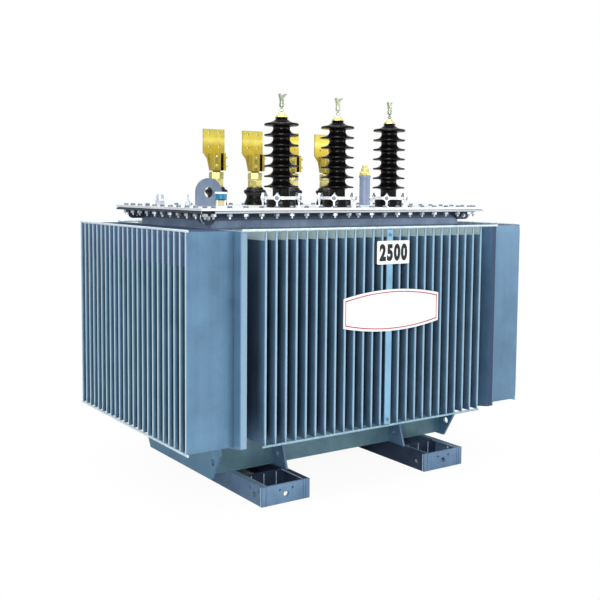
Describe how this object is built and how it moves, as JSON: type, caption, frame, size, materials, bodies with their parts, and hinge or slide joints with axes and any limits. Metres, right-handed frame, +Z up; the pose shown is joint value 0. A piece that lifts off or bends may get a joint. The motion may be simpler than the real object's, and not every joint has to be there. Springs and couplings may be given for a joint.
{
  "type": "power transformer",
  "caption": "Three-phase oil-filled power transformer: sealed tank with folded cooling fins, tall high-voltage and flagged low-voltage bushings, on skids with roller pockets.",
  "frame": {"origin": "on the floor under the middle of the tank", "axes": "+X along the tank's long side to the right, +Y from the high-voltage front to the low-voltage back, +Z up"},
  "size_m": [2.21, 1.462, 2.076],
  "materials": {
    "fin_steel": "satin blue-grey coating",
    "base_steel": "satin blue-grey coating",
    "tank_steel": "satin grey coating",
    "cover_zinc": "pale zinc coating",
    "gasket_rubber": "matt",
    "glazed_porcelain": "black-brown glaze",
    "tinned_brass": "yellow passivated, satin",
    "terminal_metal": "cast, satin",
    "bright_zinc": "zinc plated",
    "gauge_body": "glossy with a white rim",
    "plate_enamel": "white gloss enamel"
  },
  "bodies": {
    "root": {"base_end_plate_left": "base_steel", "base_end_plate_right": "base_steel", "base_gussets": "base_steel", "base_rail_back": "base_steel", "base_rail_front": "base_steel", "corrugated_wall_back": "fin_steel", "corrugated_wall_front": "fin_steel", "corrugated_wall_left": "fin_steel", "corrugated_wall_right": "fin_steel", "cover_gasket": "gasket_rubber", "cover_lifting_lug": "tank_steel", "cover_plate": "cover_zinc", "end_header_left": "fin_steel", "end_header_right": "fin_steel", "filler_cap": "tinned_brass", "filler_pipe": "tank_steel", "hv_clamp_ring_1": "bright_zinc", "hv_clamp_ring_2": "bright_zinc", "hv_clamp_ring_3": "bright_zinc", "hv_porcelain_1": "glazed_porcelain", "hv_porcelain_2": "glazed_porcelain", "hv_porcelain_3": "glazed_porcelain", "hv_terminal_1": "terminal_metal", "hv_terminal_2": "terminal_metal", "hv_terminal_3": "terminal_metal", "lv_flag_1": "tinned_brass", "lv_flag_2": "tinned_brass", "lv_flag_3": "tinned_brass", "lv_flag_4": "tinned_brass", "lv_porcelain_1": "glazed_porcelain", "lv_porcelain_2": "glazed_porcelain", "lv_porcelain_3": "glazed_porcelain", "lv_porcelain_4": "glazed_porcelain", "lv_stud_1": "tinned_brass", "lv_stud_2": "tinned_brass", "lv_stud_3": "tinned_brass", "lv_stud_4": "tinned_brass", "name_plate": "plate_enamel", "number_plate": "plate_enamel", "oil_gauge": "gauge_body", "plate_strip": "tank_steel", "skid_left_end_plates": "base_steel", "skid_left_inner_channel": "base_steel", "skid_left_outer_channel": "base_steel", "skid_left_pocket_plates": "base_steel", "skid_right_end_plates": "base_steel", "skid_right_inner_channel": "base_steel", "skid_right_outer_channel": "base_steel", "skid_right_pocket_plates": "base_steel", "tank_body": "tank_steel", "tank_corner_lugs": "tank_steel", "tank_flange": "tank_steel", "thermometer_pocket": "bright_zinc", "vent_valve": "bright_zinc"}
  },
  "joints": []
}
